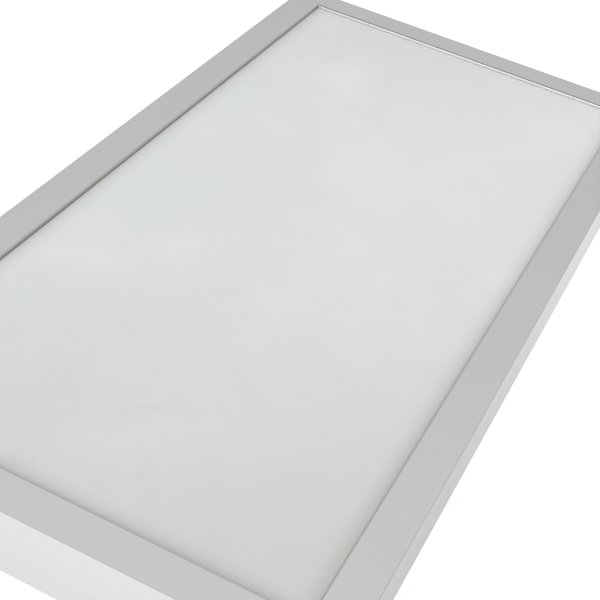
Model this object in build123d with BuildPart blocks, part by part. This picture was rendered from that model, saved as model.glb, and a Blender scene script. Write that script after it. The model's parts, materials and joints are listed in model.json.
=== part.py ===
from build123d import *
import os

# LED light table: a mitred aluminium frame round an opal plate, lit from below by LED bars in a white tray.
# Millimetres, +Z up. X runs across the short side, Y along the long side, and Z = 0 is where the feet stand.
# The origin is under the middle of the frame. The controls and inlet are in the far short side, at +Y.

os.makedirs("parts", exist_ok=True)

# ---- Overall size
WIDTH = 300.0
LENGTH = 600.0
FRAME_HEIGHT = 40.0
FRAME_BOTTOM = 3.0

# ---- Frame extrusion and the parts that it holds
WALL = 1.8
FACE_WIDTH = 22.5
FACE_THICKNESS = 3.0
RIB = 1.4
LEDGE_REACH = 20.5
FLANGE_REACH = 13.0
FLANGE_THICKNESS = 1.6
CHANNEL_WIDTH = 9.3
EDGE_RADIUS = 0.4
LIP_RADIUS = 1.0
MITRE_GAP = 0.04
PLATE_THICKNESS = 3.0
PLATE_STEP = 0.5  # how far the plate's middle stands up into the frame's opening
PLATE_CLEARANCE = 0.6
OPENING_CLEARANCE = 0.3
PLATE_EDGE_RADIUS = 0.15
PLATE_SHIFT = 0.2  # how far the plate lies from the middle, toward the far end
SEAL_THICKNESS = 1.5
SEAL_WIDTH = 6.9
COVER_THICKNESS = 1.5
COVER_RECESS = 0.5
COVER_CLEARANCE = 0.3

# ---- Corner keys
KEY_ARM = 34.0
KEY_CLEARANCE = 0.1
KEY_SCREW_INSET = 24.0
KEY_CHAMFER = 0.8
SET_SCREW_LENGTH = 4.0
SET_SCREW_SINK = 0.4  # how far each set screw's end lies inside the frame's rib
SET_SCREW_SOCKET = 0.85

# ---- Screws and nuts, all M3
SCREW_RADIUS = 1.5
HOLE_RADIUS = 1.55
PAN_HEAD_RADIUS = 2.75
PAN_HEAD_HEIGHT = 1.8
SUNK_HEAD_RADIUS = 2.8
FOOT_HEAD_HEIGHT = 1.4
SLOT_WIDTH = 0.6
HEX_RADIUS = 5.5 / 3**0.5  # corner radius of a hexagon 5.5 across its flats
NUT_HEIGHT = 2.4

# ---- Reflector tray and light engine
SHEET = 1.0
TRAY_GAP = 3.0
TRAY_SLOPE = 17.5  # how far each tray wall leans out between floor and rim
TRAY_SLOT = (10.0, 14.0, 11.0)
TRAY_SLOT_OFFSET = 6.0  # from the far edge of the tray's floor to the slot's middle
TRAY_SLOT_HEIGHT = 7.0  # from the tray's floor to the slot's middle
BAR_COUNT = 5
BAR_PITCH = 48.0
BAR_WIDTH = 12.0
BAR_LENGTH = 500.0
BAR_THICKNESS = 1.6
LED_COUNT = 11
LED_PITCH = 46.0
LED_SIZE = 3.0
LED_HEIGHT = 0.7
LENS_RADIUS = 5.5
LENS_HEIGHT = 4.6
BAR_SCREW_ROWS = (-207.0, 23.0, 207.0)
CONNECTOR_WIDTH = 10.0
CONNECTOR_DEPTH = 6.0
CONNECTOR_HEIGHT = 3.0
WIRE_RADIUS = 0.6
WIRE_PITCH = 2.4
POST_X = 24.0
POST_Y = 115.0
POST_BASE_RADIUS = 4.5
POST_BASE_HEIGHT = 1.2
POST_RADIUS = 2.6
POST_TAPER = 3.0
SPACER_SIZE = 20.0
SPACER_X = 72.0
SPACER_Y = 220.0

# ---- Feet
FOOT_RADIUS = 9.0
FOOT_INSET = 25.0
FOOT_RECESS_DEPTH = 1.8

# ---- Control board
STANDOFF_LENGTH = 10.0
BOARD_THICKNESS = 1.6
BOARD_WIDTH = 26.0
BOARD_LENGTH = 100.0
BOARD_X = -70.0
BOARD_EDGE = 3.0  # from the outer face of the frame to the board
STANDOFF_SPREAD = 46.0
STANDOFF_DEPTHS = (17.0, 26.0)
CONTROL_RISE = 6.5  # from the board to the axes of the controls

# ---- Inlet, power button and dimmer
INLET_X = -107.0
INLET_HOLE_RADIUS = 4.1
INLET_NOSE_RADIUS = 3.9
INLET_BORE_RADIUS = 2.9
INLET_BORE_DEPTH = 9.5
INLET_PIN_RADIUS = 1.0
BUTTON_X = -78.0
BUTTON_HOLE_RADIUS = 4.8
BUTTON_RADIUS = 4.5
BUTTON_PROTRUSION = 2.5
BUTTON_FLANGE = 1.1
BUTTON_FLANGE_THICKNESS = 0.9
BUTTON_RIM = 1.3
BUTTON_DISH = 0.25
SWITCH_FACE = 8.0  # from the outer face of the frame to the switch body
SWITCH_DEPTH = 9.0
PLUNGER_SIDE = 4.0
SPRING_RADIUS = 3.4
SPRING_WIRE_RADIUS = 0.2
DIMMER_X = -45.0
BUSHING_HOLE_RADIUS = 3.6
BUSHING_RADIUS = 3.45
SHAFT_RADIUS = 3.0
SHAFT_BORE_RADIUS = 3.08
SHAFT_FLAT = 2.0  # from the shaft's axis to its flat
KNOB_RADIUS = 8.5
KNOB_GAP = 0.5
KNOB_PROTRUSION = 6.0
KNOB_FLUTES = 30
FLUTE_RADIUS = 0.5
KNOB_CROWN = 1.2  # plain band above the flutes
POINTER_MIDDLE = 5.2
POINTER_LENGTH = 4.4
POINTER_WIDTH = 0.9
POINTER_DEPTH = 0.4

# ---- Heights above the floor that follow from the sizes above
FRAME_TOP = FRAME_BOTTOM + FRAME_HEIGHT
FACE_UNDERSIDE = FRAME_TOP - FACE_THICKNESS
RIM_THICKNESS = PLATE_THICKNESS - PLATE_STEP
CHANNEL_HEIGHT = RIM_THICKNESS + SEAL_THICKNESS
PLATE_BOTTOM = FACE_UNDERSIDE - RIM_THICKNESS
LEDGE_TOP = FACE_UNDERSIDE - CHANNEL_HEIGHT
LEDGE_BOTTOM = LEDGE_TOP - RIB
COVER_BOTTOM = FRAME_BOTTOM + COVER_RECESS
COVER_TOP = COVER_BOTTOM + COVER_THICKNESS
FLANGE_TOP = COVER_TOP + FLANGE_THICKNESS
LOWER_RIB_BOTTOM = FLANGE_TOP + CHANNEL_HEIGHT
LOWER_RIB_TOP = LOWER_RIB_BOTTOM + RIB
TRAY_BOTTOM = COVER_TOP + TRAY_GAP
TRAY_FLOOR = TRAY_BOTTOM + SHEET
BAR_TOP = TRAY_FLOOR + BAR_THICKNESS
BOARD_BOTTOM = COVER_TOP + STANDOFF_LENGTH
BOARD_TOP = BOARD_BOTTOM + BOARD_THICKNESS
CONTROL_Z = BOARD_TOP + CONTROL_RISE

# ---- Plan dimensions that follow from the sizes above
WEB_START = WALL + CHANNEL_WIDTH
WEB_END = WEB_START + RIB
CHANNEL_MIDDLE = WALL + CHANNEL_WIDTH / 2
PLATE_INSET = WEB_END + PLATE_CLEARANCE
PLATE_SIZE = (WIDTH - 2 * PLATE_INSET, LENGTH - 2 * PLATE_INSET)
MIDDLE_INSET = FACE_WIDTH + OPENING_CLEARANCE
MIDDLE_SIZE = (WIDTH - 2 * MIDDLE_INSET, LENGTH - 2 * MIDDLE_INSET)
RIM_SIZE = (WIDTH - 2 * LEDGE_REACH, LENGTH - 2 * LEDGE_REACH)
TRAY_FLOOR_SIZE = (RIM_SIZE[0] - 2 * TRAY_SLOPE, RIM_SIZE[1] - 2 * TRAY_SLOPE)
COVER_SIZE = tuple(side - 2 * (WALL + COVER_CLEARANCE) for side in (WIDTH, LENGTH))
BACK_Y = LENGTH / 2  # outer face of the side that holds the controls
BOARD_Y = BACK_Y - BOARD_EDGE - BOARD_WIDTH / 2
BAR_XS = [(index - (BAR_COUNT - 1) / 2) * BAR_PITCH for index in range(BAR_COUNT)]
FEED_X = BAR_XS[0] - WIRE_PITCH

# ---- Places that several pieces share
COVER_SCREWS = [(side * (WIDTH / 2 - CHANNEL_MIDDLE), y) for side in (-1, 1) for y in (-210, -70, 70, 210)]
COVER_SCREWS += [(x, side * (LENGTH / 2 - CHANNEL_MIDDLE)) for side in (-1, 1) for x in (-75, 75)]
FOOT_X = WIDTH / 2 - FOOT_INSET
FOOT_Y = LENGTH / 2 - FOOT_INSET
FEET = [(side * FOOT_X, end * FOOT_Y) for side in (-1, 1) for end in (-1, 1)]
STANDOFF_XS = (BOARD_X - STANDOFF_SPREAD, BOARD_X + STANDOFF_SPREAD)
STANDOFFS = [(x, BACK_Y - depth) for x in STANDOFF_XS for depth in STANDOFF_DEPTHS]
BAR_SCREWS = [(x, y) for x in BAR_XS for y in BAR_SCREW_ROWS]


def save(piece, name):
    """Label a finished piece and write it to its own file."""
    piece.part.label = name
    export_step(piece.part, f"parts/{name}.step")


def at_height(points, height):
    """Lift plan points to a height."""
    return [(x, y, height) for x, y in points]


def control_plane(x, depth):
    """A plane across the controls' axes, facing out of the back, a depth in from the frame's outer face."""
    return Plane(origin=(x, BACK_Y - depth, CONTROL_Z), x_dir=(-1, 0, 0), z_dir=(0, 1, 0))


# ---- Screws, drawn once with the head's top at the origin and the shank pointing down
def make_screw(head_radius, head_height, length, countersunk):
    """An M3 screw with a cross recess in its head."""
    with BuildPart() as screw:
        with BuildSketch(Plane.XZ):
            head_side = [] if countersunk else [(head_radius, -head_height)]
            with BuildLine():
                Polyline(
                    (0, 0),
                    (head_radius, 0),
                    *head_side,
                    (SCREW_RADIUS, -head_height),
                    (SCREW_RADIUS, -length),
                    (0, -length),
                    close=True,
                )
            make_face()
        revolve(axis=Axis.Z)
        with BuildSketch():
            Rectangle(head_radius * 1.1, SLOT_WIDTH)
            Rectangle(SLOT_WIDTH, head_radius * 1.1)
        extrude(amount=-0.7 * head_height, mode=Mode.SUBTRACT)
    return screw.part


def place_pieces(name, piece, places, flipped=False):
    """Put copies of one small piece at several places, in one node."""
    with BuildPart() as group:
        with Locations(*places):
            add(piece, rotation=(180, 0, 0) if flipped else (0, 0, 0))
    save(group, name)


SUNK_HEAD_HEIGHT = SUNK_HEAD_RADIUS - SCREW_RADIUS
cover_screw = make_screw(SUNK_HEAD_RADIUS, SUNK_HEAD_HEIGHT, 6.0, countersunk=True)
standoff_screw = make_screw(SUNK_HEAD_RADIUS, SUNK_HEAD_HEIGHT, 5.5, countersunk=True)
bar_screw = make_screw(PAN_HEAD_RADIUS, PAN_HEAD_HEIGHT, 5.4, countersunk=False)
board_screw = make_screw(PAN_HEAD_RADIUS, PAN_HEAD_HEIGHT, 6.8, countersunk=False)
foot_screw = make_screw(PAN_HEAD_RADIUS, FOOT_HEAD_HEIGHT, 7.6, countersunk=False)


# ---- Frame: four mitred lengths of one extrusion
def frame_side(name, inward, distance, half_length, wall_holes=()):
    """One side of the frame. The section is drawn as distance in from the outer face, and height."""
    origin = (-inward[0] * distance, -inward[1] * distance, 0)
    along = (inward[1], -inward[0], 0)
    section_bars = [
        (0, FRAME_BOTTOM, WALL, FRAME_TOP),  # outer wall
        (0, FACE_UNDERSIDE, FACE_WIDTH, FRAME_TOP),  # face
        (0, LEDGE_BOTTOM, LEDGE_REACH, LEDGE_TOP),  # ledge under the plate
        (WEB_START, LEDGE_BOTTOM, WEB_END, FRAME_TOP),  # upper channel's inner wall
        (0, COVER_TOP, FLANGE_REACH, FLANGE_TOP),  # flange that takes the cover's screws
        (0, LOWER_RIB_BOTTOM, WEB_END, LOWER_RIB_TOP),  # top of the lower channel
        (WEB_START, COVER_TOP, WEB_END, LOWER_RIB_TOP),  # lower channel's inner wall
    ]
    footprint = Plane(origin=origin, x_dir=along, z_dir=(0, 0, 1))
    with BuildPart() as side:
        with BuildSketch(Plane(origin=origin, x_dir=(*inward, 0), z_dir=along)) as section:
            for low_in, low_up, high_in, high_up in section_bars:
                with Locations(((low_in + high_in) / 2, (low_up + high_up) / 2)):
                    Rectangle(high_in - low_in, high_up - low_up)
            face_corners = section.vertices().group_by(Axis.Y)[-1].sort_by(Axis.X)
            fillet(face_corners[0], radius=EDGE_RADIUS)
            fillet(section.vertices().group_by(Axis.Y)[-1].sort_by(Axis.X)[-1], radius=LIP_RADIUS)
        extrude(amount=half_length, both=True)
        with BuildSketch(footprint):
            with BuildLine():
                end = half_length - MITRE_GAP
                Polyline(
                    (-end, 0),
                    (end, 0),
                    (end - FACE_WIDTH, FACE_WIDTH),
                    (FACE_WIDTH - end, FACE_WIDTH),
                    close=True,
                )
            make_face()
        extrude(amount=FRAME_TOP, mode=Mode.INTERSECT)
        for rib_middle in (LEDGE_BOTTOM + RIB / 2, LOWER_RIB_BOTTOM + RIB / 2):
            for end_sign in (-1, 1):
                along_side = end_sign * (half_length - KEY_SCREW_INSET)
                with Locations(footprint.from_local_coords((along_side, CHANNEL_MIDDLE, rib_middle))):
                    Hole(radius=HOLE_RADIUS, depth=RIB)
        for x, y in COVER_SCREWS:
            if abs(x * inward[0] + y * inward[1] + distance) < FACE_WIDTH:
                with Locations((x, y, COVER_TOP + FLANGE_THICKNESS / 2)):
                    Hole(radius=HOLE_RADIUS, depth=FLANGE_THICKNESS)
        for x, radius in wall_holes:
            with Locations(control_plane(x, 0)):
                Hole(radius=radius, depth=1.5 * WALL)
    save(side, name)


CONTROL_HOLES = [
    (INLET_X, INLET_HOLE_RADIUS),
    (BUTTON_X, BUTTON_HOLE_RADIUS),
    (DIMMER_X, BUSHING_HOLE_RADIUS),
]
frame_side("frame_left", (1, 0), WIDTH / 2, LENGTH / 2)
frame_side("frame_right", (-1, 0), WIDTH / 2, LENGTH / 2)
frame_side("frame_near", (0, 1), LENGTH / 2, WIDTH / 2)
frame_side("frame_far", (0, -1), LENGTH / 2, WIDTH / 2, CONTROL_HOLES)


# ---- Corner keys and their set screws
def key_screw_places(side, end):
    """Plan places of the two set screws in one corner."""
    corner_x = side * WIDTH / 2
    corner_y = end * LENGTH / 2
    return [
        (corner_x - side * KEY_SCREW_INSET, corner_y - end * CHANNEL_MIDDLE),
        (corner_x - side * CHANNEL_MIDDLE, corner_y - end * KEY_SCREW_INSET),
    ]


def corner_key(name, side, end, bottom):
    """An L-shaped key that slides into two neighbouring channels."""
    corner_x = side * (WIDTH / 2 - WALL - KEY_CLEARANCE)
    corner_y = end * (LENGTH / 2 - WALL - KEY_CLEARANCE)
    arm_width = CHANNEL_WIDTH - 2 * KEY_CLEARANCE
    with BuildPart() as key:
        with BuildSketch(Plane.XY.offset(bottom + KEY_CLEARANCE)):
            with BuildLine():
                Polyline(
                    (corner_x, corner_y),
                    (corner_x - side * KEY_ARM, corner_y),
                    (corner_x - side * KEY_ARM, corner_y - end * arm_width),
                    (corner_x - side * arm_width, corner_y - end * arm_width),
                    (corner_x - side * arm_width, corner_y - end * KEY_ARM),
                    (corner_x, corner_y - end * KEY_ARM),
                    close=True,
                )
            make_face()
        extrude(amount=CHANNEL_HEIGHT - 2 * KEY_CLEARANCE)
        inner_corner = (corner_x - side * arm_width, corner_y - end * arm_width, bottom)
        chamfer(key.edges().filter_by(Axis.Z).sort_by_distance(inner_corner)[1:], length=KEY_CHAMFER)
        with Locations(*at_height(key_screw_places(side, end), bottom)):
            Hole(radius=HOLE_RADIUS)
    save(key, name)


set_screw_places = []
for side_name, side in (("left", -1), ("right", 1)):
    for end_name, end in (("near", -1), ("far", 1)):
        corner_key(f"upper_key_{end_name}_{side_name}", side, end, LEDGE_TOP)
        corner_key(f"lower_key_{end_name}_{side_name}", side, end, FLANGE_TOP)
        upper_height = LEDGE_BOTTOM + SET_SCREW_SINK
        lower_height = LOWER_RIB_TOP - SET_SCREW_SINK - SET_SCREW_LENGTH
        set_screw_places += at_height(key_screw_places(side, end), upper_height)
        set_screw_places += at_height(key_screw_places(side, end), lower_height)

with BuildPart() as set_screw:
    with BuildSketch():
        Circle(SCREW_RADIUS)
        RegularPolygon(radius=SET_SCREW_SOCKET, side_count=6, mode=Mode.SUBTRACT)
    extrude(amount=SET_SCREW_LENGTH)

place_pieces("corner_key_screws", set_screw.part, set_screw_places)

# ---- Opal plate, with a rebated rim that the foam strips press up against the frame's face
with BuildPart() as opal_diffuser:
    with BuildSketch(Plane((0, PLATE_SHIFT, PLATE_BOTTOM))):
        RectangleRounded(*PLATE_SIZE, radius=1.0)
    extrude(amount=RIM_THICKNESS)
    with BuildSketch(Plane((0, PLATE_SHIFT, FACE_UNDERSIDE))):
        Rectangle(*MIDDLE_SIZE)
    extrude(amount=PLATE_STEP)
    fillet(opal_diffuser.edges().group_by(Axis.Z)[-1], radius=PLATE_EDGE_RADIUS)
save(opal_diffuser, "opal_diffuser")

with BuildPart() as plate_seals:
    with BuildSketch(Plane.XY.offset(LEDGE_TOP)):
        with Locations(*[(side * (PLATE_SIZE[0] - SEAL_WIDTH) / 2, 0) for side in (-1, 1)]):
            Rectangle(SEAL_WIDTH, PLATE_SIZE[1])
        with Locations(*[(0, end * (PLATE_SIZE[1] - SEAL_WIDTH) / 2) for end in (-1, 1)]):
            Rectangle(PLATE_SIZE[0] - 2 * SEAL_WIDTH - 0.2, SEAL_WIDTH)
    extrude(amount=SEAL_THICKNESS)
save(plate_seals, "plate_seals")

# ---- Reflector tray: a sloping white box that hangs under the ledges, with a slot for the feed wires
with BuildPart() as reflector_tray:
    with BuildSketch(Plane.XY.offset(TRAY_BOTTOM)):
        Rectangle(TRAY_FLOOR_SIZE[0] + SHEET, TRAY_FLOOR_SIZE[1] + SHEET)
    with BuildSketch(Plane.XY.offset(LEDGE_BOTTOM)):
        Rectangle(RIM_SIZE[0] + 2 * SHEET, RIM_SIZE[1] + 2 * SHEET)
    loft()
    with BuildSketch(Plane.XY.offset(LEDGE_BOTTOM - SHEET)):
        Rectangle(*PLATE_SIZE)
    extrude(amount=SHEET)
    with BuildSketch(Plane.XY.offset(TRAY_FLOOR)):
        Rectangle(*TRAY_FLOOR_SIZE)
    with BuildSketch(Plane.XY.offset(LEDGE_BOTTOM)):
        Rectangle(*RIM_SIZE)
    loft(mode=Mode.SUBTRACT)
    with Locations((FEED_X, TRAY_FLOOR_SIZE[1] / 2 + TRAY_SLOT_OFFSET, TRAY_FLOOR + TRAY_SLOT_HEIGHT)):
        Box(*TRAY_SLOT, mode=Mode.SUBTRACT)
    with Locations(*at_height(BAR_SCREWS, TRAY_FLOOR)):
        Hole(radius=HOLE_RADIUS, depth=2 * SHEET)
save(reflector_tray, "reflector_tray")

with BuildPart() as tray_spacers:
    with BuildSketch(Plane.XY.offset(COVER_TOP)):
        with GridLocations(2 * SPACER_X, SPACER_Y, 2, 3):
            Rectangle(SPACER_SIZE, SPACER_SIZE)
    extrude(amount=TRAY_GAP)
save(tray_spacers, "tray_spacers")

# ---- LED bars, with their packages, lenses, screws and connectors
for number, bar_x in enumerate(BAR_XS, start=1):
    with BuildPart() as led_bar:
        with BuildSketch(Plane.XY.offset(TRAY_FLOOR)):
            with Locations((bar_x, 0)):
                Rectangle(BAR_WIDTH, BAR_LENGTH)
            with Locations(*[(bar_x, y) for y in BAR_SCREW_ROWS]):
                Circle(HOLE_RADIUS, mode=Mode.SUBTRACT)
        extrude(amount=BAR_THICKNESS)
    save(led_bar, f"led_bar_{number}")

with BuildPart() as led_packages:
    with BuildSketch(Plane.XY.offset(BAR_TOP)):
        with GridLocations(BAR_PITCH, LED_PITCH, BAR_COUNT, LED_COUNT):
            Rectangle(LED_SIZE, LED_SIZE)
    extrude(amount=LED_HEIGHT)
    with BuildSketch(Plane.XY.offset(BAR_TOP + LED_HEIGHT)):
        with GridLocations(BAR_PITCH, LED_PITCH, BAR_COUNT, LED_COUNT):
            Circle(0.4 * LED_SIZE)
    extrude(amount=-0.3 * LED_HEIGHT, mode=Mode.SUBTRACT)
save(led_packages, "led_packages")

with BuildPart() as lens:
    with BuildSketch(Plane.XZ):
        with BuildLine():
            foot = Line((LED_SIZE, 0), (LENS_RADIUS, 0))
            rim = Line(foot @ 1, (LENS_RADIUS, 1.2))
            dome = ThreePointArc(rim @ 1, (0.72 * LENS_RADIUS, 0.8 * LENS_HEIGHT), (1.2, LENS_HEIGHT))
            dimple = Line(dome @ 1, (0, LENS_HEIGHT - 0.6))
            axis_side = Line(dimple @ 1, (0, 2.0))
            ThreePointArc(axis_side @ 1, (1.9, 1.4), (LED_SIZE, 0))
        make_face()
    revolve(axis=Axis.Z)

led_places = [(x, (row - (LED_COUNT - 1) / 2) * LED_PITCH) for x in BAR_XS for row in range(LED_COUNT)]
place_pieces("led_lenses", lens.part, at_height(led_places, BAR_TOP))
place_pieces("bar_screws", bar_screw, at_height(BAR_SCREWS, BAR_TOP + PAN_HEAD_HEIGHT))

CONNECTOR_FACE = BAR_LENGTH / 2 - 2.0  # the side of each bar's connector that the wires enter
with BuildPart() as bar_connectors:
    with BuildSketch(Plane.XY.offset(BAR_TOP)):
        with Locations(*[(x, CONNECTOR_FACE - CONNECTOR_DEPTH / 2) for x in BAR_XS]):
            Rectangle(CONNECTOR_WIDTH, CONNECTOR_DEPTH)
    extrude(amount=CONNECTOR_HEIGHT)
    chamfer(bar_connectors.edges().group_by(Axis.Z)[-1], length=0.4)
save(bar_connectors, "bar_connectors")

# ---- Clear posts under the middle of the plate
POST_TOP = PLATE_BOTTOM - 0.1
with BuildPart() as diffuser_posts:
    with BuildSketch(Plane.XY.offset(TRAY_FLOOR)):
        with GridLocations(2 * POST_X, 2 * POST_Y, 2, 2):
            Circle(POST_BASE_RADIUS)
    extrude(amount=POST_BASE_HEIGHT)
    with BuildSketch(Plane.XY.offset(TRAY_FLOOR + POST_BASE_HEIGHT)):
        with GridLocations(2 * POST_X, 2 * POST_Y, 2, 2):
            Circle(POST_RADIUS)
    extrude(amount=POST_TOP - TRAY_FLOOR - POST_BASE_HEIGHT, taper=POST_TAPER)
save(diffuser_posts, "diffuser_posts")

# ---- Wiring: loops from bar to bar, and a pair from the control board to the first bar
WIRE_HEIGHT = BAR_TOP + CONNECTOR_HEIGHT / 2
OUTLET_FACE = BOARD_Y - BOARD_WIDTH / 2  # the side of the output connector that faces the tray
OUTLET_HEIGHT = BOARD_TOP + 2.0


def wire(points, bend_radius):
    """One round wire along straight runs joined by arcs."""
    with BuildPart() as strand:
        with BuildLine() as path:
            FilletPolyline(*points, radius=bend_radius)
        with BuildSketch(Plane(origin=path.line @ 0, z_dir=path.line % 0)):
            Circle(WIRE_RADIUS)
        sweep(path=path.line)
    return strand.part


def jumper_wires(name, pole, reach):
    """The loops of one colour, each from one bar's connector to the next."""
    with BuildPart() as wires:
        for left_x, right_x in zip(BAR_XS[:-1], BAR_XS[1:]):
            points = [
                (left_x + pole, CONNECTOR_FACE, WIRE_HEIGHT),
                (left_x + pole, CONNECTOR_FACE + reach, WIRE_HEIGHT),
                (right_x - pole, CONNECTOR_FACE + reach, WIRE_HEIGHT),
                (right_x - pole, CONNECTOR_FACE, WIRE_HEIGHT),
            ]
            add(wire(points, bend_radius=2.4))
    save(wires, name)


def feed_wire(name, x):
    """One wire from the first bar, through the tray's slot, to the control board."""
    points = [
        (x, CONNECTOR_FACE, WIRE_HEIGHT),
        (x, CONNECTOR_FACE + 6, WIRE_HEIGHT),
        (x, OUTLET_FACE - 7, OUTLET_HEIGHT),
        (x, OUTLET_FACE, OUTLET_HEIGHT),
    ]
    with BuildPart() as feed:
        add(wire(points, bend_radius=8.0))
    save(feed, name)


jumper_wires("jumper_wires_red", 0.5 * WIRE_PITCH, reach=7.0)
jumper_wires("jumper_wires_black", 1.5 * WIRE_PITCH, reach=3.6)
feed_wire("feed_wire_red", FEED_X + 0.5 * WIRE_PITCH)
feed_wire("feed_wire_black", FEED_X - 0.5 * WIRE_PITCH)

# ---- Control board on its standoffs
with BuildPart() as control_board:
    with BuildSketch(Plane.XY.offset(BOARD_BOTTOM)):
        with Locations((BOARD_X, BOARD_Y)):
            RectangleRounded(BOARD_LENGTH, BOARD_WIDTH, radius=1.0)
        with Locations(*STANDOFFS):
            Circle(HOLE_RADIUS, mode=Mode.SUBTRACT)
    extrude(amount=BOARD_THICKNESS)
save(control_board, "control_board")

with BuildPart() as board_standoffs:
    with BuildSketch(Plane.XY.offset(COVER_TOP)):
        with Locations(*STANDOFFS):
            RegularPolygon(radius=HEX_RADIUS, side_count=6)
            Circle(HOLE_RADIUS, mode=Mode.SUBTRACT)
    extrude(amount=STANDOFF_LENGTH)
save(board_standoffs, "board_standoffs")

place_pieces("board_screws", board_screw, at_height(STANDOFFS, BOARD_TOP + PAN_HEAD_HEIGHT))
place_pieces("standoff_screws", standoff_screw, at_height(STANDOFFS, COVER_BOTTOM), flipped=True)

# ---- Components on the control board
CAPACITOR_RADIUS = 4.0
CAPACITOR_HEIGHT = 11.5
CAPACITOR_PLACE = (-62, BOARD_Y - 2)
TRANSISTOR_PLACE = (-87, BOARD_Y - 7)
TRANSISTOR_SIZE = (6.6, 6.1)
CHIP_PLACE = (-74, BOARD_Y - 8)
FUSE_START = -42.0
FUSE_LENGTH = 14.0
FUSE_CAP = 3.0
FUSE_RADIUS = 1.85
GLASS_RADIUS = 1.6
OUTLET_SIZE = (7.0, 6.0)
OUTLET_RISE = 4.5

with BuildPart() as bulk_capacitor:
    with BuildSketch(Plane.XY.offset(BOARD_TOP)):
        with Locations(CAPACITOR_PLACE):
            Circle(CAPACITOR_RADIUS)
    extrude(amount=CAPACITOR_HEIGHT)
    fillet(bulk_capacitor.edges().group_by(Axis.Z)[-1], radius=0.6)
    with BuildSketch(Plane.XY.offset(BOARD_TOP + 1.4)):
        with Locations(CAPACITOR_PLACE):
            Circle(CAPACITOR_RADIUS)
            Circle(CAPACITOR_RADIUS - 0.4, mode=Mode.SUBTRACT)
    extrude(amount=0.8, mode=Mode.SUBTRACT)
save(bulk_capacitor, "bulk_capacitor")

with BuildPart() as power_transistor:
    with BuildSketch(Plane.XY.offset(BOARD_TOP)):
        with Locations(TRANSISTOR_PLACE):
            Rectangle(*TRANSISTOR_SIZE)
            with Locations((0, 3.8)):
                Rectangle(5.2, 2.0)
            with GridLocations(4.6, 0, 2, 1), Locations((0, -4)):
                Rectangle(0.9, 2.4)
    extrude(amount=0.6)
    with BuildSketch(Plane.XY.offset(BOARD_TOP + 0.6)):
        with Locations(TRANSISTOR_PLACE):
            Rectangle(*TRANSISTOR_SIZE)
    extrude(amount=1.7, taper=6)
save(power_transistor, "power_transistor")

with BuildPart() as dimmer_chip:
    with BuildSketch(Plane.XY.offset(BOARD_TOP + 0.1)):
        with Locations(CHIP_PLACE):
            Rectangle(5.0, 3.9)
    extrude(amount=1.4, taper=5)
    with BuildSketch(Plane.XY.offset(BOARD_TOP)):
        with Locations(CHIP_PLACE):
            with GridLocations(1.27, 5.0, 4, 2):
                Rectangle(0.4, 1.4)
    extrude(amount=0.4)
save(dimmer_chip, "dimmer_chip")

with BuildPart() as fuse:
    with BuildSketch(Plane.YZ.offset(FUSE_START)):
        with Locations((BOARD_Y - 8, BOARD_TOP + FUSE_RADIUS)):
            Circle(GLASS_RADIUS)
    extrude(amount=FUSE_LENGTH)
    for cap_start in (FUSE_START, FUSE_START + FUSE_LENGTH - FUSE_CAP):
        with BuildSketch(Plane.YZ.offset(cap_start)):
            with Locations((BOARD_Y - 8, BOARD_TOP + FUSE_RADIUS)):
                Circle(FUSE_RADIUS)
        extrude(amount=FUSE_CAP)
save(fuse, "fuse")

with BuildPart() as output_connector:
    with BuildSketch(Plane.XY.offset(BOARD_TOP)):
        with Locations((FEED_X, OUTLET_FACE + OUTLET_SIZE[1] / 2)):
            Rectangle(*OUTLET_SIZE)
    extrude(amount=OUTLET_RISE)
    chamfer(output_connector.edges().group_by(Axis.Z)[-1], length=0.5)
save(output_connector, "output_connector")

# ---- Inlet: a board-mounted socket whose nose fills its hole in the frame
INLET_FRONT = WALL + 0.1
INLET_NOSE_FACE = 0.3
INLET_BODY_WIDTH = 9.0
INLET_BODY_HEIGHT = 11.0
INLET_BODY_DEPTH = 12.4
with BuildPart() as inlet_body:
    with BuildSketch(control_plane(INLET_X, INLET_FRONT)):
        with Locations((0, INLET_BODY_HEIGHT / 2 - CONTROL_RISE)):
            Rectangle(INLET_BODY_WIDTH, INLET_BODY_HEIGHT)
    extrude(amount=-INLET_BODY_DEPTH)
    with BuildSketch(control_plane(INLET_X, INLET_FRONT)):
        Circle(INLET_NOSE_RADIUS)
    extrude(amount=INLET_FRONT - INLET_NOSE_FACE)
    with Locations(control_plane(INLET_X, INLET_NOSE_FACE)):
        Hole(radius=INLET_BORE_RADIUS, depth=INLET_BORE_DEPTH)
        Hole(radius=INLET_PIN_RADIUS + 0.05, depth=INLET_BORE_DEPTH + 2)
save(inlet_body, "inlet_body")

with BuildPart() as inlet_pin:
    with BuildSketch(control_plane(INLET_X, INLET_NOSE_FACE + 1)):
        Circle(INLET_PIN_RADIUS)
    extrude(amount=-(INLET_BORE_DEPTH + 1))
    fillet(inlet_pin.edges().group_by(Axis.Y)[-1], radius=0.5)
save(inlet_pin, "inlet_pin")

# ---- Power switch: body, plunger, return spring and button
PLUNGER_OUTER = 0.25  # how deep the plunger's outer end sits, from the frame's outer face
PLUNGER_INNER = 12.6
BUTTON_INNER = 3.2
SWITCH_WIDTH = 10.0
SWITCH_BACK = 2.0
PLUNGER_CLEARANCE = 0.15
with BuildPart() as switch_body:
    with BuildSketch(control_plane(BUTTON_X, SWITCH_FACE)):
        Rectangle(SWITCH_WIDTH, 2 * CONTROL_RISE)
        Rectangle(*[PLUNGER_SIDE + 2 * PLUNGER_CLEARANCE] * 2, mode=Mode.SUBTRACT)
    extrude(amount=-(SWITCH_DEPTH - SWITCH_BACK))
    with BuildSketch(control_plane(BUTTON_X, SWITCH_FACE + SWITCH_DEPTH - SWITCH_BACK)):
        Rectangle(SWITCH_WIDTH, 2 * CONTROL_RISE)
    extrude(amount=-SWITCH_BACK)
save(switch_body, "switch_body")

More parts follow.
